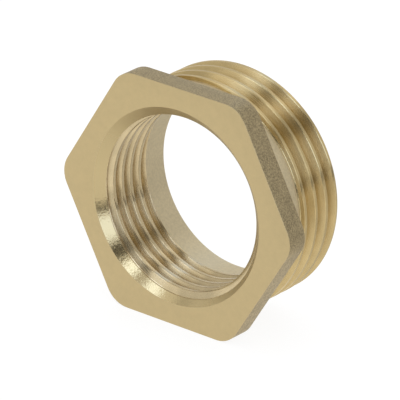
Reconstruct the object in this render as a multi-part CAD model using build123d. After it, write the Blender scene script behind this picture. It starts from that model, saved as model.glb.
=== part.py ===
from build123d import *
from math import ceil, radians, tan
import os

# Hex bushing, a reducer turned and threaded from one brass forging. A thin hexagon
# flange carries a short G 1 male thread, and a G 3/4 female thread runs in from the
# hexagon's face to a plain relief bore. Millimetres.
# It is drawn on its thread axis, Z, with Z = 0 on the hexagon's face and the male end
# towards +Z, and is then laid on one flat of the hexagon.

# Hexagon flange
across_flats = 34.0
hex_corner_radius = 3.8
flange_thickness = 3.5
flange_rear_edge_chamfer = 0.3

# Shank: a neck left as forged, which the male thread runs out on, and the turned thread
# blank. The neck is wider than the blank's distance from the flange, so it closes the
# bottom of the first turn of groove.
overall_length = 14.8
neck_diameter = 31.9
neck_width = 2.9
blank_distance = 2.6
male_end_chamfer = 0.9

# Male thread, G 1 with its crests a little under the nominal 33.249
male_crest_diameter = 33.0
male_root_diameter = 30.291
male_pitch = 2.309
male_entry_angle = 211.3

# Bore: mouth chamfer, tapped length, relief and rear edge
mouth_diameter = 27.9
mouth_chamfer_angle = 45.0
tapped_depth = 9.4
relief_bore_diameter = 26.6
rear_bore_chamfer = 0.4

# Female thread, G 3/4
female_crest_diameter = 24.6
female_root_diameter = 26.441
female_pitch = 1.814
female_entry_angle = 0.0

# The 55 degree pipe thread form, which both threads share
thread_included_angle = 55.0
root_flat_share = 1 / 6
cutter_clearance = 0.2


def hexagon_flange():
    """The flange: a hexagon with round corners, its flats square to Y, its rear edge eased."""
    outline = RegularPolygon(radius=across_flats / 2, side_count=6, major_radius=False)
    outline = fillet(outline.vertices(), radius=hex_corner_radius)
    flange = extrude(outline, amount=flange_thickness)
    rear_outline = flange.faces().sort_by(Axis.Z)[-1].edges()
    return chamfer(rear_outline, length=flange_rear_edge_chamfer)


def neck():
    """The forged neck behind the flange, solid down to the axis and in through the flange."""
    height = flange_thickness + neck_width
    return Cylinder(neck_diameter / 2, height, align=(Align.CENTER, Align.CENTER, Align.MIN))


def thread_blank():
    """The turned blank of the male thread, with the chamfer of the male end."""
    crest = male_crest_diameter / 2
    profile = Polyline(
        (0, flange_thickness + blank_distance),
        (crest, flange_thickness + blank_distance),
        (crest, overall_length - male_end_chamfer),
        (crest - male_end_chamfer, overall_length),
        (0, overall_length),
        close=True,
    )
    return revolve(Plane.XZ * make_face(profile), axis=Axis.Z)


def bore():
    """The through bore to take away: mouth chamfer, tapping size, relief and rear chamfer."""
    mouth = mouth_diameter / 2
    crest = female_crest_diameter / 2
    relief = relief_bore_diameter / 2
    chamfer_depth = (mouth - crest) / tan(radians(mouth_chamfer_angle))
    profile = Polyline(
        (0, 0),
        (mouth, 0),
        (crest, chamfer_depth),
        (crest, tapped_depth),
        (relief, tapped_depth),
        (relief, overall_length - rear_bore_chamfer),
        (relief + rear_bore_chamfer, overall_length),
        (0, overall_length),
        close=True,
    )
    return revolve(Plane.XZ * make_face(profile), axis=Axis.Z)


def mouth_width(pitch, depth):
    """Width of a thread groove at a height of depth above its root flat."""
    return pitch * root_flat_share + 2 * depth * tan(radians(thread_included_angle / 2))


def groove_turn(corners, pitch, height):
    """Up to one turn of groove, its sides ruled between the helices of its section's corners."""
    paths = [Pos(0, 0, z) * Helix(pitch, height, radius).edge() for radius, z in corners]
    sides = [
        Face.make_surface_from_curves(path, following)
        for path, following in zip(paths, paths[1:] + paths[:1])
    ]
    ends = [
        make_face(Polyline(*[path @ place for path in paths], close=True)).face()
        for place in (0, 1)
    ]
    return Solid(Shell(sides + ends))


def thread_groove(root, open_edge, pitch, start, end, entry_angle):
    """The space between the threads: a flat-bottomed V groove along a right-hand helix, by turns.

    root and open_edge are the radii of its floor and of its open side. start and end are
    the heights of its centre line at its two ends.
    """
    half_root = pitch * root_flat_share / 2
    half_open = mouth_width(pitch, abs(open_edge - root)) / 2
    corners = [
        (root, start - half_root),
        (open_edge, start - half_open),
        (open_edge, start + half_open),
        (root, start + half_root),
    ]
    turns = ceil((end - start) / pitch)
    rise = (end - start) / turns
    turn = groove_turn(corners, pitch, rise)
    return [
        Pos(0, 0, index * rise) * Rot(0, 0, entry_angle + index * 360 * rise / pitch) * turn
        for index in range(turns)
    ]


def male_groove():
    """Starts before the thread blank and runs off the male end."""
    root = male_root_diameter / 2
    open_edge = male_crest_diameter / 2 + cutter_clearance
    half_width = mouth_width(male_pitch, open_edge - root) / 2
    start = flange_thickness + half_width + 2 * cutter_clearance
    end = overall_length + half_width + cutter_clearance
    return thread_groove(root, open_edge, male_pitch, start, end, male_entry_angle)


def female_groove():
    """Starts clear of the hexagon's face and ends clear in the relief bore."""
    root = female_root_diameter / 2
    open_edge = female_crest_diameter / 2 - cutter_clearance
    half_width = mouth_width(female_pitch, root - open_edge) / 2
    start = -half_width - 2 * cutter_clearance
    end = tapped_depth + half_width + cutter_clearance
    return thread_groove(root, open_edge, female_pitch, start, end, female_entry_angle)


def hex_bushing():
    """The whole bushing, laid down: axis along Y, face towards -Y, one flat on Z = 0."""
    threaded_shank = thread_blank() - male_groove()
    bushing = hexagon_flange() + neck() + threaded_shank - bore() - female_groove()
    bushing = Rot(-90, 0, 0) * bushing
    return Pos(0, -overall_length / 2, across_flats / 2) * bushing


os.makedirs("parts", exist_ok=True)
export_step(hex_bushing(), "parts/hex_bushing.step")
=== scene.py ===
from math import cos, degrees, pi, radians, sin, sqrt, tan

import bpy
from bpy.props import FloatProperty, FloatVectorProperty, IntProperty, PointerProperty
from mathutils import Matrix, Vector


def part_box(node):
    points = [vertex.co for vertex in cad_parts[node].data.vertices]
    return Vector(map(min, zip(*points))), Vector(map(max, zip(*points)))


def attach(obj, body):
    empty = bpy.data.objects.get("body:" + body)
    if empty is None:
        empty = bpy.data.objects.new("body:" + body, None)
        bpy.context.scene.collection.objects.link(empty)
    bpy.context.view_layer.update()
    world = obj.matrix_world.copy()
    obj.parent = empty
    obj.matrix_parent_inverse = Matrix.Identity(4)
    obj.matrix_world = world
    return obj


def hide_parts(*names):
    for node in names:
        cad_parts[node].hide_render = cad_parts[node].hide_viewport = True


bl_info = {
    "name": "Hex Bushing",
    "version": (1, 0, 0),
    "blender": (4, 5, 0),
    "location": "View3D > Sidebar > Hex Bushing",
    "description": "Builds a threaded brass hex bushing and its studio",
    "category": "Add Mesh",
}

# The frame. The bushing lies on a flat of its hexagon: its axis is along Y, its face is
# towards -Y, and the floor is Z = 0.
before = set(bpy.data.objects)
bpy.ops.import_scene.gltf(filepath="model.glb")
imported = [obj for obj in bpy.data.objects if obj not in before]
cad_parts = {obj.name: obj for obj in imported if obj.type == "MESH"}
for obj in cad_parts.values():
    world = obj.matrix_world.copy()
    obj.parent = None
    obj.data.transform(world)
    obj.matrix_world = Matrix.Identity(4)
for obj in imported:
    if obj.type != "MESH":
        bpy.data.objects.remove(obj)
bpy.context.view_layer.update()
node_low, node_high = (Vector(corner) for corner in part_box("hex_bushing"))

MM = 0.001
FACE_Y = node_low.y
AXIS_HEIGHT = (node_low.z + node_high.z) / 2
OBJECT_CENTRE = Vector((0, 0, AXIS_HEIGHT))
# The pipe thread form: how far its flanks lean from the radius, and as shares of the pitch,
# half the flat that the V would have at its root and the rounding that takes its place
FLANK_ANGLE = radians(27.5)
HALF_ROOT_SHARE = 1 / 12
ROOT_ROUNDING_SHARE = 0.137329


def linear(hex_colour):
    """An sRGB hex colour as a linear RGB triple."""
    parts = [int(hex_colour[i : i + 2], 16) / 255 for i in (1, 3, 5)]
    return tuple(p / 12.92 if p <= 0.04045 else ((p + 0.055) / 1.055) ** 2.4 for p in parts)


def length_property(name, description, default):
    """A size in metres that the sidebar shows as a length."""
    return FloatProperty(
        name=name,
        description=description,
        default=default,
        min=0,
        precision=5,
        subtype="DISTANCE",
        unit="LENGTH",
    )


def colour_property(name, description, hex_colour):
    """A colour, given as sRGB hex and held as linear RGB."""
    return FloatVectorProperty(
        name=name,
        description=description,
        default=linear(hex_colour),
        size=3,
        min=0,
        max=1,
        subtype="COLOR",
    )


class BushingSizes(bpy.types.PropertyGroup):
    """Sizes of the bushing, with depths measured from the hexagon's face."""

    across_flats: length_property(
        "Across flats", "Width of the hexagon between its flats", node_high.z - node_low.z
    )
    overall_length: length_property(
        "Overall length", "From the hexagon's face to the male end", node_high.y - node_low.y
    )
    corner_radius: length_property("Corner radius", "Radius of the hexagon's corners", 3.8 * MM)
    flange_thickness: length_property("Flange", "Thickness of the hexagon", 3.5 * MM)
    front_edge_radius: length_property("Front edge", "Rounding of the face's edge", 0.06 * MM)
    rear_edge_radius: length_property("Rear edge", "Rounding of the forged rear edge", 0.3 * MM)
    neck_diameter: length_property("Neck", "Diameter behind the hexagon", 31.9 * MM)
    neck_width: length_property("Neck width", "From the hexagon to the neck's end", 2.9 * MM)
    blank_distance: length_property("Blank distance", "From hexagon to thread blank", 2.6 * MM)
    run_out_fillet: length_property("Run-out fillet", "Between the neck and a flank", 0.22 * MM)
    end_chamfer: length_property("End chamfer", "Chamfer on the male end", 0.9 * MM)
    male_crest: length_property("Male crest", "Diameter over the male thread", 33.0 * MM)
    male_root: length_property("Male root", "Diameter under the male thread", 30.291 * MM)
    male_pitch: length_property("Male pitch", "Spacing of the male thread", 2.309 * MM)
    mouth_diameter: length_property("Mouth", "Diameter of the bore's chamfered mouth", 27.9 * MM)
    tapped_depth: length_property("Tapped depth", "Where the female thread stops", 9.4 * MM)
    relief_diameter: length_property("Relief bore", "Diameter behind the thread", 26.6 * MM)
    relief_chamfer: length_property("Relief chamfer", "Chamfer at the bore's rear", 0.4 * MM)
    female_crest: length_property("Female crest", "Diameter inside the female thread", 24.6 * MM)
    female_root: length_property("Female root", "Diameter at the female roots", 26.441 * MM)
    female_pitch: length_property("Female pitch", "Spacing of the female thread", 1.814 * MM)
    crest_easing: length_property("Crest easing", "Rounding of the crests' corners", 0.14 * MM)
    worn_bevel: length_property("Worn bevel", "Depth of the bevel on the rear crests", 0.07 * MM)
    clearance: length_property("Clearance", "How far cutters run past the metal", 0.2 * MM)
    entry_angle: FloatProperty(
        name="Male entry",
        description="Where the male groove starts, round from the corner on the right",
        default=radians(211.3),
        subtype="ANGLE",
        unit="ROTATION",
    )
    segments: IntProperty(
        name="Segments", description="Faces around one full turn", default=216, min=48, max=360
    )


class BushingColours(bpy.types.PropertyGroup):
    """Colours of the brass, by how each surface was made."""

    faced: colour_property("Faced", "Faced front and cut edges", "#C4B084")
    chamfer: colour_property("Chamfer", "Bright-cut mouth and turned edges", "#C1AE82")
    threaded: colour_property("Threaded", "Die-cut male thread", "#D0B986")
    # Partly the brass's own colour and partly painted light: paler than the male thread's, standing
    # in for light bounced into the bore
    tapped: colour_property("Tapped", "Tapped female thread", "#D5C29A")
    forged: colour_property("Forged", "Blasted skin on the hexagon's sides", "#A89876")
    neck: colour_property("Neck", "Smooth forged skin behind the hexagon", "#D9CAA7")
    relief: colour_property("Relief", "Plain bore behind the thread", "#D8C9A6")


class StudioSettings(bpy.types.PropertyGroup):
    """The room that the bushing is shown in."""

    floor_width: length_property("Floor", "Width of the floor", 6.0)
    floor_colour: colour_property("Floor colour", "Colour of the pale floor", "#FCFCFC")
    floor_shade: FloatProperty(
        name="Floor shade",
        description="Share of the floor's brightness that a shadow can take away",
        default=0.14,
        min=0,
        max=1,
        subtype="FACTOR",
    )
    room_level: FloatProperty(
        name="Room level",
        description="Brightness of the room's light on the floor",
        default=0.9,
        min=0,
    )
    lens: FloatProperty(
        name="Lens",
        description="Focal length of the photograph's view",
        default=448.7,
        unit="CAMERA",
    )


def in_scene(name, data):
    """A new object in the scene that shows a mesh or holds a camera."""
    made = bpy.data.objects.new(name, data)
    bpy.context.scene.collection.objects.link(made)
    return made


def add_node(tree, kind, inputs=(), **settings):
    """Add a node with its settings, and set or link its inputs, which go by name or number."""
    node = tree.nodes.new(kind)
    for name, value in settings.items():
        setattr(node, name, value)
    for key, value in dict(inputs).items():
        if isinstance(value, bpy.types.Node):
            value = next(socket for socket in value.outputs if socket.enabled)
        if isinstance(value, bpy.types.NodeSocket):
            tree.links.new(value, node.inputs[key])
        else:
            node.inputs[key].default_value = value
    return node


# Sections, which are lists of (radius, depth) with the finish of the stretch after each point

FINISHES = ("threaded", "tapped", "faced", "chamfer", "forged", "neck", "relief")


def arc(centre, radius, start, end, steps):
    """Points of an arc in a section, from one angle to another, in degrees."""
    angles = [radians(start + (end - start) * step / steps) for step in range(steps + 1)]
    return [(centre[0] + radius * cos(a), centre[1] + radius * sin(a)) for a in angles]


def neck_section(sizes):
    """The forged neck, closed along the axis inside the flange and inside the blank."""
    neck = sizes.neck_diameter / 2
    inside = sizes.flange_thickness / 3
    end = sizes.flange_thickness + sizes.neck_width
    return [(point, "neck") for point in ((0, inside), (neck, inside), (neck, end), (0, end))]


def blank_section(sizes):
    """The turned blank of the male thread, with its end chamfer."""
    crest = sizes.male_crest / 2
    start = sizes.flange_thickness + sizes.blank_distance
    length = sizes.overall_length
    return [
        ((0, start), "threaded"),
        ((crest, start), "threaded"),
        ((crest, length - sizes.end_chamfer), "faced"),
        ((crest - sizes.end_chamfer, length), "faced"),
        ((0, length), "faced"),
    ]


def bore_section(sizes):
    """What the mouth chamfer, the drill and the relief take away, closed along the axis."""
    mouth = sizes.mouth_diameter / 2
    crest = sizes.female_crest / 2
    relief = sizes.relief_diameter / 2
    length = sizes.overall_length
    beyond = 0.5 * MM
    return [
        ((0, -beyond), "faced"),
        ((mouth + beyond, -beyond), "chamfer"),
        ((crest, mouth - crest), "tapped"),
        ((crest, sizes.tapped_depth), "relief"),
        ((relief, sizes.tapped_depth), "relief"),
        ((relief, length - sizes.relief_chamfer), "faced"),
        ((relief + sizes.relief_chamfer + beyond, length + beyond), "faced"),
        ((0, length + beyond), "faced"),
    ]


def flange_section(sizes):
    """Edge of the hexagon as (distance from the axis to the flat, depth)."""
    flat = sizes.across_flats / 2
    front = sizes.front_edge_radius
    rear = sizes.rear_edge_radius
    thick = sizes.flange_thickness
    # Short strips beside the rear rounding keep the flat and the rear face shaded flat
    strip = 0.1 * MM
    front_arc = arc((flat - front, front), front, -90, 0, 3)
    rear_arc = arc((flat - rear, thick - rear), rear, 0, 90, 6)
    stretches = {
        "faced": [(0, 0), *front_arc[:-1]],
        "forged": [front_arc[-1], (flat, rear_arc[0][1] - strip), *rear_arc],
        "neck": [(rear_arc[-1][0] - strip, thick), (0, thick)],
    }
    return [(point, finish) for finish, points in stretches.items() for point in points]


def flank_place(pitch, height):
    """How far a flank lies from the middle of its groove, at a height above the root flat."""
    return pitch * HALF_ROOT_SHARE + height * tan(FLANK_ANGLE)


def groove_section(root, crest, pitch, easing, clearance):
    """The space between two threads: a 55 degree V with a round root and eased crest corners.

    root and crest are radii. The V opens outwards for a male thread and inwards for a
    female one, and runs a little past the crest so that it cuts clear.
    """
    way = 1 if crest > root else -1
    depth = abs(crest - root)
    root_rounding = ROOT_ROUNDING_SHARE * pitch
    half_angle = degrees(FLANK_ANGLE)
    # The corner arcs are tangent to the flank and to a line just past the crest, so that
    # they leave the crest at a shallow angle, and end a little short of their top
    centre_height = depth - 0.98 * easing
    arc_end = 94
    centre_width = flank_place(pitch, centre_height) + easing / cos(FLANK_ANGLE)
    low_arc = arc((0, root_rounding), root_rounding, -90, -half_angle, 5)
    high_arc = arc((centre_width, centre_height), easing, 180 - half_angle, arc_end, 5)
    # Short strips beside the roundings keep the flank between them shaded flat
    low, high = Vector(low_arc[-1]), Vector(high_arc[0])
    strip = (high - low).normalized() * 0.025 * MM
    half = low_arc + [tuple(low + strip), tuple(high - strip)] + high_arc
    half.append((half[-1][0], depth + clearance))
    loop = [(-width, height) for width, height in reversed(half[1:])] + half
    loop.append(loop[0])
    if way > 0:
        loop.reverse()
    finish = "threaded" if way > 0 else "tapped"
    return [((root + way * height, width), finish) for width, height in loop]


def fillet_section(sizes):
    """The rounding between the neck and the first flank, placed from the groove's middle."""
    neck = sizes.neck_diameter / 2
    radius = sizes.run_out_fillet
    corner = flank_place(sizes.male_pitch, neck - sizes.male_root / 2)
    buried = 0.1 * MM
    half_turn = (pi / 2 + FLANK_ANGLE) / 2
    tangent = radius / tan(half_turn)
    centre = (neck + radius, corner - tangent)
    loop = arc(centre, radius, 180, 90 + degrees(FLANK_ANGLE), 8)
    loop += [(loop[-1][0], loop[-1][1] + buried), (neck - buried, corner + buried)]
    loop += [(neck - buried, loop[0][1])]
    loop.append(loop[0])
    return [(point, "chamfer") for point in loop]


def bevel_section(sizes):
    """What wear takes off the front corner of a crest, placed from the groove's middle."""
    crest = sizes.male_crest / 2
    bevel = sizes.worn_bevel
    corner = flank_place(sizes.male_pitch, crest - bevel - sizes.male_root / 2)
    past = 0.04 * MM
    low = (crest - bevel - past, corner - past)
    high = (crest + past, corner + bevel + past)
    loop = [low, (high[0], low[1]), high, low]
    return [(point, "chamfer") for point in loop]


def section_object(name, section):
    """A section as a string of points for the node tree to read."""
    mesh = bpy.data.meshes.new(name)
    points = [(radius, 0, depth) for (radius, depth), _ in section]
    mesh.from_pydata(points, [(i, i + 1) for i in range(len(points) - 1)], [])
    zone = mesh.attributes.new("zone", "INT", "POINT")
    zone.data.foreach_set("value", [FINISHES.index(finish) for _, finish in section])
    return in_scene(name, mesh)


# Node trees

# Points closer than this, in metres, are one point
WELD = 1e-7
# An edge where the surface turns by more than this stays crisp
CRISP_ANGLE = radians(26)
CORNER_POINTS = 13


def new_tree(name, inputs):
    """A Geometry Nodes tree with named inputs and one geometry output."""
    tree = bpy.data.node_groups.new(name, "GeometryNodeTree")
    for label, kind in inputs:
        tree.interface.new_socket(name=label, in_out="INPUT", socket_type="NodeSocket" + kind)
    tree.interface.new_socket(name="Mesh", in_out="OUTPUT", socket_type="NodeSocketGeometry")
    return tree, tree.nodes.new("NodeGroupInput").outputs


def section_grid(tree, holder, stations):
    """A flat grid with a column for each station and a row for each point of a section.

    Returned are the grid, with the finish of each row on its faces, the station of each of
    its points, and the point of the section that belongs to it.
    """
    section = add_node(tree, "GeometryNodeObjectInfo", {"Object": holder}).outputs["Geometry"]
    size = add_node(tree, "GeometryNodeAttributeDomainSize", {0: section})
    grid = add_node(
        tree,
        "GeometryNodeMeshGrid",
        {"Size X": 1, "Size Y": 1, "Vertices X": stations, "Vertices Y": size},
    )
    position = add_node(tree, "GeometryNodeInputPosition")
    place = add_node(tree, "ShaderNodeSeparateXYZ", {0: position})
    numbers = []
    for axis, count in (("X", stations), ("Y", size)):
        last = add_node(tree, "ShaderNodeMath", {0: count, 1: 1}, operation="SUBTRACT")
        share = add_node(tree, "ShaderNodeMath", {0: place.outputs[axis], 1: 0.5})
        numbers.append(add_node(tree, "ShaderNodeMath", {0: share, 1: last}, operation="MULTIPLY"))
    station, row = numbers
    point_row = add_node(tree, "ShaderNodeMath", {0: row}, operation="ROUND")
    face_row = add_node(tree, "ShaderNodeMath", {0: row}, operation="FLOOR")
    sample = add_node(
        tree,
        "GeometryNodeSampleIndex",
        {0: section, 1: position, "Index": point_row},
        data_type="FLOAT_VECTOR",
    )
    zones = add_node(tree, "GeometryNodeInputNamedAttribute", {0: "zone"}, data_type="INT")
    zone = add_node(
        tree, "GeometryNodeSampleIndex", {0: section, 1: zones, "Index": face_row}, data_type="INT"
    )
    marked = add_node(
        tree,
        "GeometryNodeStoreNamedAttribute",
        {"Geometry": grid, "Name": "zone", "Value": zone},
        data_type="INT",
        domain="FACE",
    )
    return marked, station, sample


def place_grid(tree, grid, x, y, z):
    """Put the grid's points in place, weld the points that meet, and end the tree."""
    target = add_node(tree, "ShaderNodeCombineXYZ", {0: x, 1: y, 2: z})
    placed = add_node(tree, "GeometryNodeSetPosition", {"Geometry": grid, "Position": target})
    welded = add_node(tree, "GeometryNodeMergeByDistance", {"Geometry": placed, "Distance": WELD})
    add_node(tree, "NodeGroupOutput", {0: welded})


def turned_tree():
    """A section carried round the axis by any number of turns, rising by the pitch each turn.

    With the ends closed, the first and last stations shrink to the section's middle.
    """
    tree, given = new_tree(
        "Turned section",
        [
            ("Section", "Object"),
            ("Stations", "Int"),
            ("Turns", "Float"),
            ("Pitch", "Float"),
            ("Start angle", "Float"),
            ("Start depth", "Float"),
            ("Closed ends", "Float"),
            ("Middle", "Vector"),
        ],
    )
    closed = given["Closed ends"]
    grid, station, sample = section_grid(tree, given["Section"], given["Stations"])
    # How far round each station is, where closed ends spend one station each on the cap
    last = add_node(tree, "ShaderNodeMath", {0: given["Stations"], 1: 1}, operation="SUBTRACT")
    used = add_node(tree, "ShaderNodeMath", {0: closed, 1: -2, 2: last}, operation="MULTIPLY_ADD")
    moved = add_node(tree, "ShaderNodeMath", {0: station, 1: closed}, operation="SUBTRACT")
    share = add_node(
        tree, "ShaderNodeMath", {0: moved, 1: used}, operation="DIVIDE", use_clamp=True
    )
    turns = add_node(tree, "ShaderNodeMath", {0: share, 1: given["Turns"]}, operation="MULTIPLY")
    angle, rise = [
        add_node(
            tree, "ShaderNodeMath", {0: turns, 1: each_turn, 2: start}, operation="MULTIPLY_ADD"
        )
        for each_turn, start in (
            (2 * pi, given["Start angle"]),
            (given["Pitch"], given["Start depth"]),
        )
    ]
    # Caps: where the share has run past either end, the section shrinks to its middle
    low = add_node(tree, "ShaderNodeMath", {0: moved, 1: -0.5}, operation="LESS_THAN")
    past = add_node(tree, "ShaderNodeMath", {0: used, 1: 0.5})
    high = add_node(tree, "ShaderNodeMath", {0: moved, 1: past}, operation="GREATER_THAN")
    cap = add_node(tree, "ShaderNodeMath", {0: low, 1: high}, operation="MAXIMUM")
    kept = add_node(
        tree, "ShaderNodeMix", {0: cap, 4: sample, 5: given["Middle"]}, data_type="VECTOR"
    )
    flat = add_node(tree, "ShaderNodeSeparateXYZ", {0: kept.outputs[1]}).outputs
    sides = []
    for turn in ("COSINE", "SINE"):
        part = add_node(tree, "ShaderNodeMath", {0: angle}, operation=turn)
        terms = {0: flat["X"], 1: part}
        sides.append(add_node(tree, "ShaderNodeMath", terms, operation="MULTIPLY"))
    height = add_node(tree, "ShaderNodeMath", {0: flat["Z"], 1: rise})
    place_grid(tree, grid, *sides, height)
    return tree


def hexagon_tree():
    """The edge section carried round a hexagon whose corners are arcs."""
    tree, given = new_tree(
        "Hexagon flange",
        [
            ("Section", "Object"),
            ("Across flats", "Float"),
            ("Corner radius", "Float"),
            ("Corner points", "Int"),
        ],
    )
    arc_points = given["Corner points"]
    stations = add_node(
        tree, "ShaderNodeMath", {0: arc_points, 1: 6, 2: 1}, operation="MULTIPLY_ADD"
    )
    grid, exact_station, sample = section_grid(tree, given["Section"], stations)
    station = add_node(tree, "ShaderNodeMath", {0: exact_station}, operation="ROUND")
    # Corner number, and the place on that corner's arc of 60 degrees
    parts = add_node(tree, "ShaderNodeMath", {0: station, 1: arc_points}, operation="DIVIDE")
    corner = add_node(tree, "ShaderNodeMath", {0: parts}, operation="FLOOR")
    on_arc = add_node(
        tree, "ShaderNodeMath", {0: station, 1: arc_points}, operation="FLOORED_MODULO"
    )
    arc_last = add_node(tree, "ShaderNodeMath", {0: arc_points, 1: 1}, operation="SUBTRACT")
    arc_share = add_node(tree, "ShaderNodeMath", {0: on_arc, 1: arc_last}, operation="DIVIDE")
    corner_angle = add_node(tree, "ShaderNodeMath", {0: corner, 1: pi / 3}, operation="MULTIPLY")
    swing = add_node(
        tree, "ShaderNodeMath", {0: arc_share, 1: pi / 3, 2: -pi / 6}, operation="MULTIPLY_ADD"
    )
    arc_angle = add_node(tree, "ShaderNodeMath", {0: corner_angle, 1: swing})
    # A row keeps the corners' centres while it is outside them, and shrinks to the axis inside
    reach = add_node(tree, "ShaderNodeSeparateXYZ", {0: sample}).outputs
    half = add_node(
        tree, "ShaderNodeMath", {0: given["Across flats"], 1: 0.5}, operation="MULTIPLY"
    )
    core = add_node(
        tree, "ShaderNodeMath", {0: half, 1: given["Corner radius"]}, operation="SUBTRACT"
    )
    shrink = add_node(
        tree, "ShaderNodeMath", {0: reach["X"], 1: core}, operation="DIVIDE", use_clamp=True
    )
    centre_radius = add_node(tree, "ShaderNodeMath", {0: core, 1: cos(pi / 6)}, operation="DIVIDE")
    inner = add_node(tree, "ShaderNodeMath", {0: centre_radius, 1: shrink}, operation="MULTIPLY")
    over = add_node(tree, "ShaderNodeMath", {0: reach["X"], 1: core}, operation="SUBTRACT")
    outer = add_node(tree, "ShaderNodeMath", {0: over, 1: 0}, operation="MAXIMUM")
    sides = []
    for turn in ("COSINE", "SINE"):
        corner_way = add_node(tree, "ShaderNodeMath", {0: corner_angle}, operation=turn)
        arc_way = add_node(tree, "ShaderNodeMath", {0: arc_angle}, operation=turn)
        base = add_node(tree, "ShaderNodeMath", {0: inner, 1: corner_way}, operation="MULTIPLY")
        terms = {0: outer, 1: arc_way, 2: base}
        sides.append(add_node(tree, "ShaderNodeMath", terms, operation="MULTIPLY_ADD"))
    place_grid(tree, grid, *sides, reach["Z"])
    return tree


# Everything helical, and what each helix is given beside its section
HELICES = ("Male groove", "Worn bevel", "Run-out fillet", "Female groove")
HELIX_INPUTS = {
    " pitch": "Float",
    " turns": "Float",
    " angle": "Float",
    " depth": "Float",
    " middle": "Vector",
}


def bushing_tree():
    """The threaded blank joined to flange and neck, then bored and tapped."""
    helix_inputs = []
    for name in HELICES:
        helix_inputs.append((name, "Object"))
        helix_inputs += [(name + ending, kind) for ending, kind in HELIX_INPUTS.items()]
    tree, given = new_tree(
        "Hex bushing",
        [
            ("Flange edge", "Object"),
            ("Neck", "Object"),
            ("Blank", "Object"),
            ("Bore", "Object"),
            ("Across flats", "Float"),
            ("Corner radius", "Float"),
            ("Segments", "Int"),
            ("Face", "Vector"),
        ]
        + helix_inputs
        + [(finish.capitalize() + " finish", "Material") for finish in FINISHES],
    )
    turned = turned_tree()
    flange = add_node(
        tree,
        "GeometryNodeGroup",
        {
            "Section": given["Flange edge"],
            "Across flats": given["Across flats"],
            "Corner radius": given["Corner radius"],
            "Corner points": CORNER_POINTS,
        },
        node_tree=hexagon_tree(),
    )
    round_stations = add_node(tree, "ShaderNodeMath", {0: given["Segments"], 1: 1})
    neck, blank, bore = [
        add_node(
            tree,
            "GeometryNodeGroup",
            {"Section": given[name], "Stations": round_stations, "Turns": 1},
            node_tree=turned,
        )
        for name in ("Neck", "Blank", "Bore")
    ]
    # A helix has a station more than its segments, and one more for the cap at each end
    helices = {}
    for name in HELICES:
        stations = add_node(
            tree,
            "ShaderNodeMath",
            {0: given["Segments"], 1: given[name + " turns"], 2: 3},
            operation="MULTIPLY_ADD",
        )
        helices[name] = add_node(
            tree,
            "GeometryNodeGroup",
            {
                "Section": given[name],
                "Stations": stations,
                "Turns": given[name + " turns"],
                "Pitch": given[name + " pitch"],
                "Start angle": given[name + " angle"],
                "Start depth": given[name + " depth"],
                "Closed ends": 1,
                "Middle": given[name + " middle"],
            },
            node_tree=turned,
        )
    body = blank
    for operation, part in (
        ("DIFFERENCE", helices["Male groove"]),
        ("DIFFERENCE", helices["Worn bevel"]),
        ("UNION", helices["Run-out fillet"]),
        ("UNION", neck),
        ("UNION", flange),
        ("DIFFERENCE", bore),
        ("DIFFERENCE", helices["Female groove"]),
    ):
        joined = add_node(
            tree, "GeometryNodeMeshBoolean", {1: part}, operation=operation, solver="MANIFOLD"
        )
        # A union takes all its meshes on the second input
        tree.links.new(body.outputs[0], joined.inputs[1 if operation == "UNION" else 0])
        body = joined
    clean = add_node(
        tree, "GeometryNodeMergeByDistance", {"Geometry": body.outputs[0], "Distance": WELD}
    )
    edge_turn = add_node(tree, "GeometryNodeInputMeshEdgeAngle")
    eased = add_node(
        tree,
        "FunctionNodeCompare",
        {0: edge_turn.outputs[0], 1: CRISP_ANGLE},
        operation="LESS_THAN",
    )
    smooth = add_node(
        tree, "GeometryNodeSetShadeSmooth", {"Geometry": clean, "Shade Smooth": True}
    )
    shaded = add_node(
        tree,
        "GeometryNodeSetShadeSmooth",
        {"Geometry": smooth, "Shade Smooth": eased},
        domain="EDGE",
    )
    laid = add_node(
        tree,
        "GeometryNodeTransform",
        {"Geometry": shaded, "Translation": given["Face"], "Rotation": (-pi / 2, 0, 0)},
    )
    finished = add_node(tree, "GeometryNodeRealizeInstances", {"Geometry": laid})
    zone = add_node(tree, "GeometryNodeInputNamedAttribute", {0: "zone"}, data_type="INT")
    for number, finish in enumerate(FINISHES):
        chosen = add_node(
            tree, "FunctionNodeCompare", {2: zone, 3: number}, data_type="INT", operation="EQUAL"
        )
        finished = add_node(
            tree,
            "GeometryNodeSetMaterial",
            {
                "Geometry": finished,
                "Selection": chosen,
                "Material": given[finish.capitalize() + " finish"],
            },
        )
    add_node(tree, "NodeGroupOutput", {0: finished})
    return tree


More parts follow.
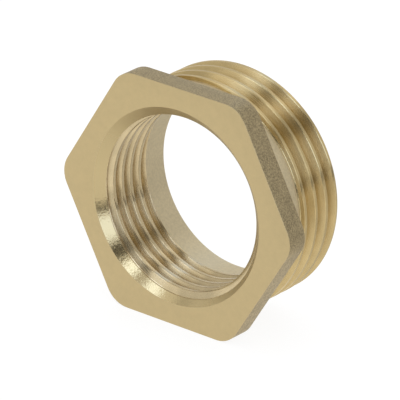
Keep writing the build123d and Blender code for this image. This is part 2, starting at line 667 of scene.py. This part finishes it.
def helix_rows(sizes):
    """Section, pitch, turns, start angle, start depth and middle of each helix."""
    easing, clearance = sizes.crest_easing, sizes.clearance
    male_root, male_crest = sizes.male_root / 2, sizes.male_crest / 2
    female_root, female_crest = sizes.female_root / 2, sizes.female_crest / 2
    male_half = flank_place(sizes.male_pitch, male_crest - male_root + clearance)
    female_half = flank_place(sizes.female_pitch, female_root - female_crest + clearance)
    male_start = sizes.flange_thickness + male_half + 2 * clearance
    male_end = sizes.overall_length + male_half + clearance
    male_turns = (male_end - male_start) / sizes.male_pitch
    female_start = -female_half - 2 * clearance
    female_end = sizes.tapped_depth + female_half + clearance
    female_turns = (female_end - female_start) / sizes.female_pitch
    # The fillet lies where the first flank leaves the neck, and the bevel on the crests
    # after the second turn of groove
    corner = flank_place(sizes.male_pitch, sizes.neck_diameter / 2 - male_root)
    blank_start = sizes.flange_thickness + sizes.blank_distance
    fillet_turn = (blank_start - corner - male_start) / sizes.male_pitch
    fillet_turns = 0.17
    bevel_turn = 2.15
    bevel_turns = 1.5
    bevel_corner = flank_place(sizes.male_pitch, male_crest - male_root)
    # An end closes on a point inside the section: in a groove this share of the way to its
    # crest, and in the fillet and the bevel this far off the corner that they follow
    middle_share = 0.75
    middle_inset = clearance / 8
    return {
        "Male groove": (
            groove_section(male_root, male_crest, sizes.male_pitch, easing, clearance),
            sizes.male_pitch,
            male_turns,
            sizes.entry_angle,
            male_start,
            (male_root + middle_share * (male_crest - male_root), 0, 0),
        ),
        "Worn bevel": (
            bevel_section(sizes),
            sizes.male_pitch,
            bevel_turns,
            sizes.entry_angle + 2 * pi * bevel_turn,
            male_start + bevel_turn * sizes.male_pitch,
            (male_crest + middle_inset, 0, bevel_corner - middle_inset),
        ),
        "Run-out fillet": (
            fillet_section(sizes),
            sizes.male_pitch,
            fillet_turns,
            sizes.entry_angle + 2 * pi * fillet_turn,
            male_start + fillet_turn * sizes.male_pitch,
            (sizes.neck_diameter / 2 - middle_inset, 0, corner + middle_inset),
        ),
        "Female groove": (
            groove_section(female_root, female_crest, sizes.female_pitch, easing, clearance),
            sizes.female_pitch,
            female_turns,
            0.0,
            female_start,
            (female_root - middle_share * (female_root - female_crest), 0, 0),
        ),
    }


# Brass finishes, which read Object coordinates, so that their patterns have real sizes

# Nearly all of a noise lies between these levels
NOISE_SPAN = {"From Min": 0.35, "From Max": 0.65}


def new_material(name):
    """A material and its node tree, which is still empty."""
    material = bpy.data.materials.new(name)
    material.use_nodes = True
    material.node_tree.nodes.clear()
    return material, material.node_tree


def new_metal(name):
    """A metal: its material, tree and shader, and the Object coordinates for its patterns."""
    material, tree = new_material(name)
    shader = add_node(tree, "ShaderNodeBsdfPrincipled", {"Metallic": 1, "Roughness": 0.5})
    add_node(tree, "ShaderNodeOutputMaterial", {"Surface": shader})
    place = add_node(tree, "ShaderNodeTexCoord").outputs["Object"]
    return material, tree, shader, place


def place_round_axis(tree, place):
    """A point's seamless direction round the thread axis, and its distance and depth."""
    lifted = add_node(tree, "ShaderNodeVectorMath", {0: place, 1: (0, 0, -AXIS_HEIGHT)})
    flat = add_node(tree, "ShaderNodeVectorMath", {0: lifted, 1: (1, 0, 1)}, operation="MULTIPLY")
    way = add_node(tree, "ShaderNodeVectorMath", {0: flat}, operation="NORMALIZE")
    reach = add_node(tree, "ShaderNodeVectorMath", {0: flat}, operation="LENGTH")
    depth = add_node(tree, "ShaderNodeSeparateXYZ", {0: place}).outputs["Y"]
    return way, reach, depth


def spread_reflections(tree, shader, way, spread):
    """Cutting marks that run round the axis spread reflections across themselves."""
    shader.inputs["Anisotropic"].default_value = spread
    shader.inputs["Anisotropic Rotation"].default_value = 0.25
    tangent = add_node(
        tree, "ShaderNodeVectorMath", {0: (0, 1, 0), 1: way}, operation="CROSS_PRODUCT"
    )
    tree.links.new(tangent.outputs[0], shader.inputs["Tangent"])


def cutting_marks(tree, way, reach, depth, spacing, stretch=3.0):
    """Noise drawn out into rings round the axis, with a mean spacing in metres.

    Real marks are finer, and these are as coarse as they need to be to show.
    """
    along = add_node(tree, "ShaderNodeMath", {0: reach, 1: depth})
    line = add_node(tree, "ShaderNodeMath", {0: along, 1: 1 / spacing}, operation="MULTIPLY")
    return add_node(
        tree,
        "ShaderNodeTexNoise",
        {"Vector": way, "W": line, "Scale": stretch, "Detail": 2.0, "Roughness": 0.55},
        noise_dimensions="4D",
    ).outputs[0]


def scaled(colour, amount):
    """A colour made darker or lighter."""
    return tuple(part * amount for part in colour)


def mottled(tree, shader, colour, pattern, darkest, lightest, span=NOISE_SPAN):
    """Colour the metal between two shares of its colour, as a pattern goes through a span."""
    share = add_node(tree, "ShaderNodeMapRange", {"Value": pattern, **span})
    mix = add_node(
        tree,
        "ShaderNodeMix",
        {0: share, 6: (*scaled(colour, darkest), 1), 7: (*scaled(colour, lightest), 1)},
        data_type="RGBA",
    )
    tree.links.new(mix.outputs[2], shader.inputs["Base Color"])


def thread_finish(name, colour, smooth, rough, mark_depth):
    """Cut brass thread: fine drawn-out marks that soften its reflections in streaks."""
    material, tree, shader, place = new_metal(name)
    way, reach, depth = place_round_axis(tree, place)
    spread_reflections(tree, shader, way, 0.92)
    marks = cutting_marks(tree, way, reach, depth, 0.09 * MM)
    # Stains some 4 mm across
    stain = add_node(
        tree,
        "ShaderNodeTexNoise",
        {"Vector": place, "Scale": 260, "Detail": 4.0, "Roughness": 0.6},
    ).outputs[0]
    mottled(tree, shader, colour, stain, 0.9, 1.05, {"From Min": 0.38, "From Max": 0.66})
    ends = {"To Min": smooth, "To Max": rough}
    roughness = add_node(tree, "ShaderNodeMapRange", {"Value": marks, **NOISE_SPAN, **ends})
    tree.links.new(roughness.outputs[0], shader.inputs["Roughness"])
    bump = add_node(
        tree, "ShaderNodeBump", {"Strength": 0.5, "Distance": mark_depth, "Height": marks}
    )
    tree.links.new(bump.outputs[0], shader.inputs["Normal"])
    return material


def faced_finish(colour):
    """Faced brass: a pale satin with faint turning rings and a fine mottle."""
    material, tree, shader, place = new_metal("faced brass satin")
    rings = cutting_marks(tree, *place_round_axis(tree, place), 0.07 * MM, 1.2)
    # A mottle some 1 mm across
    mottle = add_node(
        tree,
        "ShaderNodeTexNoise",
        {"Vector": place, "Scale": 900, "Detail": 5.0, "Roughness": 0.65},
    ).outputs[0]
    mottled(tree, shader, colour, mottle, 0.95, 1.03)
    rough = add_node(
        tree, "ShaderNodeMapRange", {"Value": mottle, **NOISE_SPAN, "To Min": 0.34, "To Max": 0.44}
    )
    tree.links.new(rough.outputs[0], shader.inputs["Roughness"])
    bump = add_node(
        tree, "ShaderNodeBump", {"Strength": 0.4, "Distance": 0.003 * MM, "Height": rings}
    )
    tree.links.new(bump.outputs[0], shader.inputs["Normal"])
    return material


def chamfer_finish(colour):
    """Bright-cut brass: nearly a mirror, so the mouth's edge shows blocks of light and dark."""
    material, tree, shader, place = new_metal("bright-cut brass chamfer")
    way, reach, depth = place_round_axis(tree, place)
    spread_reflections(tree, shader, way, 0.7)
    rings = cutting_marks(tree, way, reach, depth, 0.08 * MM, 1.5)
    mottled(tree, shader, colour, rings, 0.96, 1.03)
    rough = add_node(
        tree, "ShaderNodeMapRange", {"Value": rings, **NOISE_SPAN, "To Min": 0.12, "To Max": 0.2}
    )
    # The mouth is cut clean at its lower left, and grows duller round the rest
    clean_side = add_node(
        tree, "ShaderNodeVectorMath", {0: way, 1: (-0.707, 0, -0.707)}, operation="DOT_PRODUCT"
    )
    dull = add_node(
        tree,
        "ShaderNodeMapRange",
        {"Value": clean_side, "From Min": 0.55, "From Max": 0.0, "To Min": 0.0, "To Max": 0.21},
    )
    in_mouth = add_node(tree, "ShaderNodeMath", {0: reach, 1: 15 * MM}, operation="LESS_THAN")
    total = add_node(
        tree, "ShaderNodeMath", {0: dull, 1: in_mouth, 2: rough}, operation="MULTIPLY_ADD"
    )
    tree.links.new(total.outputs[0], shader.inputs["Roughness"])
    # Chatter of the tool, some 0.3 mm from mark to mark
    chatter = add_node(
        tree,
        "ShaderNodeTexNoise",
        {"Vector": place, "Scale": 3300, "Detail": 3.0, "Roughness": 0.6},
    ).outputs[0]
    height = add_node(
        tree, "ShaderNodeMath", {0: chatter, 1: 3.0, 2: rings}, operation="MULTIPLY_ADD"
    )
    bump = add_node(
        tree, "ShaderNodeBump", {"Strength": 1.0, "Distance": 0.006 * MM, "Height": height}
    )
    tree.links.new(bump.outputs[0], shader.inputs["Normal"])
    return material


def skin_finish(name, colour, grain, grain_depth, contrast):
    """Forging skin: a speckle of pits and bright points that has no direction.

    The grain is the pits' width in metres, coarse enough to show, and patches five times as
    wide shade it.
    """
    material, tree, shader, place = new_metal(name)
    pits = add_node(
        tree,
        "ShaderNodeTexNoise",
        {"Vector": place, "Scale": 1 / grain, "Detail": 3.0, "Roughness": 0.7},
    ).outputs[0]
    patches = add_node(
        tree, "ShaderNodeTexNoise", {"Vector": place, "Scale": 0.2 / grain, "Detail": 2.0}
    ).outputs[0]
    tone = add_node(
        tree, "ShaderNodeMath", {0: patches, 1: 0.15, 2: pits}, operation="MULTIPLY_ADD"
    )
    span = {"From Min": 0.44, "From Max": 0.71}
    mottled(tree, shader, colour, tone, 1 - contrast, 1 + contrast, span)
    bump = add_node(
        tree, "ShaderNodeBump", {"Strength": 0.8, "Distance": grain_depth, "Height": pits}
    )
    tree.links.new(bump.outputs[0], shader.inputs["Normal"])
    return material


def brass_finishes(colours):
    """The material of each finish, by the name of the node tree's input."""
    return {
        # Cut by a die, whose fine marks draw the reflections on the crests out in streaks
        "Threaded finish": thread_finish(
            "die-cut brass thread", colours.threaded, smooth=0.22, rough=0.34, mark_depth=0.004 * MM
        ),
        # Cut by a tap, which leaves smoother flanks; made paler than the male thread as painted
        # light standing in for light bounced into the bore
        "Tapped finish": thread_finish(
            "tapped brass thread with painted bounce light", colours.tapped, smooth=0.19, rough=0.29, mark_depth=0.0012 * MM
        ),
        "Faced finish": faced_finish(colours.faced),
        "Chamfer finish": chamfer_finish(colours.chamfer),
        # Blasted, so the hexagon's sides are dark and rough and sparkle in points
        "Forged finish": skin_finish(
            "shot-blasted brass forging skin",
            colours.forged,
            grain=0.2 * MM,
            grain_depth=0.028 * MM,
            contrast=0.36,
        ),
        # Pressed smooth by the forging die, so the neck is a calm pale band
        "Neck finish": skin_finish(
            "smooth brass forging skin",
            colours.neck,
            grain=0.3 * MM,
            grain_depth=0.008 * MM,
            contrast=0.08,
        ),
        # Bored, and too deep in for its marks to show, so it looks even and matt
        "Relief finish": skin_finish(
            "bored brass, matt",
            colours.relief,
            grain=0.35 * MM,
            grain_depth=0.006 * MM,
            contrast=0.06,
        ),
    }


class BUSHING_OT_body(bpy.types.Operator):
    """Build the whole threaded bushing as one piece"""

    bl_idname = "bushing.body"
    bl_label = "Bushing"

    def execute(self, context):
        sizes = context.scene.bushing_sizes
        holders = {
            "Flange edge": section_object("flange edge", flange_section(sizes)),
            "Neck": section_object("neck", neck_section(sizes)),
            "Blank": section_object("blank", blank_section(sizes)),
            "Bore": section_object("bore", bore_section(sizes)),
        }
        given = {
            "Across flats": sizes.across_flats,
            "Corner radius": sizes.corner_radius,
            "Segments": sizes.segments,
            "Face": (0, FACE_Y, AXIS_HEIGHT),
            **brass_finishes(context.scene.bushing_colours),
        }
        for name, (section, *values) in helix_rows(sizes).items():
            holders[name] = section_object(name.lower(), section)
            given.update(zip([name + ending for ending in HELIX_INPUTS], values))
        given.update(holders)
        tree = bushing_tree()
        maker = in_scene("maker", bpy.data.meshes.new("base"))
        modifier = maker.modifiers.new("Hex bushing", "NODES")
        modifier.node_group = tree
        for item in tree.interface.items_tree:
            if item.in_out == "INPUT":
                modifier[item.identifier] = given[item.name]
        depsgraph = context.evaluated_depsgraph_get()
        mesh = bpy.data.meshes.new_from_object(
            maker.evaluated_get(depsgraph), preserve_all_data_layers=True, depsgraph=depsgraph
        )
        if not mesh.polygons:
            raise RuntimeError("the node tree gave no mesh")
        # The empty slot of the base mesh goes, and so do the maker and the sections
        mesh.materials.pop(index=0)
        mesh.attributes.remove(mesh.attributes["zone"])
        maker.modifiers.remove(modifier)
        for helper in (maker, *holders.values()):
            bpy.data.objects.remove(helper)
        piece = in_scene("bushing", mesh)
        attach(piece, "root")
        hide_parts("hex_bushing")
        return {"FINISHED"}


# Soft boxes, grey walls and dark flags. Each is a strip of a sphere, placed by the metal
# that mirrors it to the camera: from one angle to another round the thread axis, and from
# one lean to another, where the crests mirror a lean of -48 degrees, the mouth chamfer 42
# and the flanks towards the hexagon 77. Then its distance in metres and its brightness.
STRIPS = (
    ("left wall", 234, 268, 20, 100, 1.3, 0.7),
    ("front left wall", 298, 308.5, 62, 100, 1.2, 0.48),
    ("front right wall", 318, 339, 60, 100, 1.2, 0.36),
    ("back wall", 304, 346, -80, -2, 1.2, 0.72),
    ("back left wall", 236, 278, -80, 10, 1.2, 0.82),
    ("high left soft box", 280, 290, 28, 58, 1.0, 3.1),
    ("back left soft box", 279, 291, -64, -30, 1.0, 1.3),
    ("left flag", 291, 298.5, 56, 100, 0.9, 0.12),
    ("top flag", 291, 297.5, -40, 20, 0.9, 0.4),
    ("high right soft box", 299.5, 307.5, 24, 56, 1.0, 3.2),
    ("right front flag", 308.5, 318, 60, 100, 0.9, 0.15),
    ("middle flag", 290.5, 299, 22, 56, 0.9, 0.72),
    ("right flag", 311, 321, 16, 59, 0.9, 0.12),
    ("back right flag", 309, 318, -70, 14, 0.9, 0.5),
    ("right soft box", 323, 338, 22, 56, 1.0, 2.45),
    ("right horizon", 340.5, 349, 5, 66, 0.9, 0.02),
    ("front horizon", 338.5, 344, 60, 100, 0.9, 0.25),
    ("back horizon", 338.5, 344.5, -80, 12, 0.9, 0.2),
)
# Low bars, which the flanks mirror just under the horizon: azimuth from -Y towards +X and
# width in degrees, heights of the bottom and top and distance in metres, and brightness
BARS = (
    ("near bar", 15, 20, 0.0024, 0.0068, 0.06, 0.05),
    ("far bar", 17, 16, 0.0, 0.009, 0.2, 0.15),
    ("right bar", 50, 16, 0.0, 0.014, 0.2, 0.2),
)
# A grey mat behind the bushing, which the crests mirror: left, right, front and back in
# metres, and its brightness
MAT = (-0.05, 0.3, 0.009, 0.3, 0.66)
MAT_HEIGHT = 0.0003
SOFT_BOX_COLOUR = "#D4E3FF"
# What the floor shows the camera is this much past white, so that it stays white far away
FLOOR_PAST_WHITE = 0.05

# The photograph's view
CAMERA_PLACE = Vector((0.36682, -0.48902, 0.28351))
CAMERA_RIGHT = Vector((0.7887, 0.6137, 0.0359)).normalized()
CAMERA_UP = Vector((-0.2726, 0.2967, 0.9152)).normalized()


def glowing(name, points, faces, brightness):
    """A glowing or dark card that only the metal's reflections see."""
    mesh = bpy.data.meshes.new(name)
    mesh.from_pydata(points, [], faces)
    material, tree = new_material(name)
    colour = (*linear(SOFT_BOX_COLOUR), 1) if brightness > 1 else (1, 1, 1, 1)
    glow = add_node(tree, "ShaderNodeEmission", {"Color": colour, "Strength": brightness})
    add_node(tree, "ShaderNodeOutputMaterial", {"Surface": glow})
    mesh.materials.append(material)
    card = in_scene(name, mesh)
    card.visible_camera = False
    card.visible_shadow = False
    card.visible_diffuse = False


def add_strip(name, start, end, low_lean, high_lean, distance, brightness):
    """A strip of a sphere round the bushing, placed by what mirrors it to the camera."""
    view = (CAMERA_PLACE - OBJECT_CENTRE).normalized()
    rows, columns = 5, 13
    points = []
    for row in range(rows):
        angle = radians(start + (end - start) * row / (rows - 1))
        out = Vector((cos(angle), 0, -sin(angle)))
        along = Vector((-sin(angle), 0, -cos(angle)))
        side = view.dot(along)
        for column in range(columns):
            lean = radians(low_lean + (high_lean - low_lean) * column / (columns - 1))
            ahead = cos(lean) * out + sin(lean) * Vector((0, -1, 0))
            points.append(OBJECT_CENTRE + distance * (sqrt(1 - side**2) * ahead - side * along))
    faces = [
        (i, i + 1, i + columns + 1, i + columns)
        for row in range(rows - 1)
        for i in range(row * columns, (row + 1) * columns - 1)
    ]
    glowing(name, points, faces, brightness)


def add_bar(name, azimuth, width, bottom, top, distance, brightness):
    """A low bar in front of the bushing, seen only by its reflections."""
    ends = [radians(azimuth + side * width / 2) for side in (-1, 1)]
    low = [Vector((distance * sin(end), -distance * cos(end), bottom)) for end in ends]
    high = [Vector((place.x, place.y, top)) for place in reversed(low)]
    glowing(name, low + high, [(0, 1, 2, 3)], brightness)


def seen_level(tree, light, seen):
    """One level for the light that falls on the floor, another for what camera and metal see."""
    path = add_node(tree, "ShaderNodeLightPath")
    either = add_node(
        tree,
        "ShaderNodeMath",
        {0: path.outputs["Is Camera Ray"], 1: path.outputs["Is Glossy Ray"]},
        operation="MAXIMUM",
    )
    return add_node(
        tree, "ShaderNodeMapRange", {"Value": either, "To Min": light, "To Max": seen}
    ).outputs[0]


def add_floor(studio):
    """The floor, pure white to the camera but for the bushing's faint shadow."""
    half = studio.floor_width / 2
    corners = [(-half, -half, 0), (half, -half, 0), (half, half, 0), (-half, half, 0)]
    mesh = bpy.data.meshes.new("floor")
    mesh.from_pydata(corners, [], [(0, 1, 2, 3)])
    floor = in_scene("floor", mesh)
    material = bpy.data.materials.new("pale floor")
    material.use_nodes = True
    tree = material.node_tree
    shader = tree.nodes["Principled BSDF"]
    shade = scaled(studio.floor_colour, studio.floor_shade)
    shader.inputs["Base Color"].default_value = (*shade, 1)
    shader.inputs["Roughness"].default_value = 0.9
    shader.inputs["Emission Color"].default_value = (*studio.floor_colour, 1)
    glow = 1 - studio.floor_shade
    own_light = seen_level(tree, studio.room_level * glow, glow + FLOOR_PAST_WHITE)
    tree.links.new(own_light, shader.inputs["Emission Strength"])
    mesh.materials.append(material)


def add_surroundings():
    """Everything that only the metal's reflections see."""
    for strip in STRIPS:
        add_strip(*strip)
    for bar in BARS:
        add_bar(*bar)
    left, right, front, back, brightness = MAT
    corners = [
        Vector((x, y, MAT_HEIGHT))
        for x, y in ((left, front), (right, front), (right, back), (left, back))
    ]
    glowing("grey mat", corners, [(0, 1, 2, 3)], brightness)


def add_world(studio):
    """A white room, which lights the bushing and its floor evenly."""
    world = bpy.data.worlds.new("white room")
    bpy.context.scene.world = world
    world.use_nodes = True
    tree = world.node_tree
    background = tree.nodes["Background"]
    background.inputs["Color"].default_value = (1, 1, 1, 1)
    tree.links.new(seen_level(tree, studio.room_level, 1.0), background.inputs["Strength"])


def add_camera(studio):
    """The camera of the photograph's view."""
    camera_data = bpy.data.cameras.new("camera")
    camera_data.sensor_width = 36
    camera_data.lens = studio.lens
    camera_data.clip_start = 0.01
    camera_data.clip_end = 20
    camera = in_scene("camera", camera_data)
    back = CAMERA_RIGHT.cross(CAMERA_UP).normalized()
    turn = Matrix((CAMERA_RIGHT, back.cross(CAMERA_RIGHT), back)).transposed().to_4x4()
    camera.matrix_world = Matrix.Translation(CAMERA_PLACE) @ turn
    bpy.context.scene.camera = camera


class BUSHING_OT_stage(bpy.types.Operator):
    """Set up the floor, surroundings, white room and camera"""

    bl_idname = "bushing.stage"
    bl_label = "Stage"

    def execute(self, context):
        studio = context.scene.studio_settings
        add_floor(studio)
        add_surroundings()
        add_world(studio)
        add_camera(studio)
        context.scene.view_settings.view_transform = "Standard"
        return {"FINISHED"}


SETTINGS = {
    "bushing_sizes": BushingSizes,
    "bushing_colours": BushingColours,
    "studio_settings": StudioSettings,
}


class BUSHING_PT_sidebar(bpy.types.Panel):
    """The steps, with the sizes and colours that they use"""

    bl_idname = "BUSHING_PT_sidebar"
    bl_label = "Hex Bushing"
    bl_space_type = "VIEW_3D"
    bl_region_type = "UI"
    bl_category = "Hex Bushing"

    def draw(self, context):
        self.layout.operator(BUSHING_OT_body.bl_idname)
        self.layout.operator(BUSHING_OT_stage.bl_idname)
        for name in SETTINGS:
            box = self.layout.box()
            settings = getattr(context.scene, name)
            for item in settings.__annotations__:
                box.prop(settings, item)


CLASSES = (*SETTINGS.values(), BUSHING_OT_body, BUSHING_OT_stage, BUSHING_PT_sidebar)


def register():
    for item in CLASSES:
        bpy.utils.register_class(item)
    for name, group in SETTINGS.items():
        setattr(bpy.types.Scene, name, PointerProperty(type=group))


def unregister():
    for name in SETTINGS:
        delattr(bpy.types.Scene, name)
    for item in reversed(CLASSES):
        bpy.utils.unregister_class(item)


def main():
    register()
    bpy.ops.bushing.body()
    bpy.ops.bushing.stage()


if __name__ == "__main__":
    main()
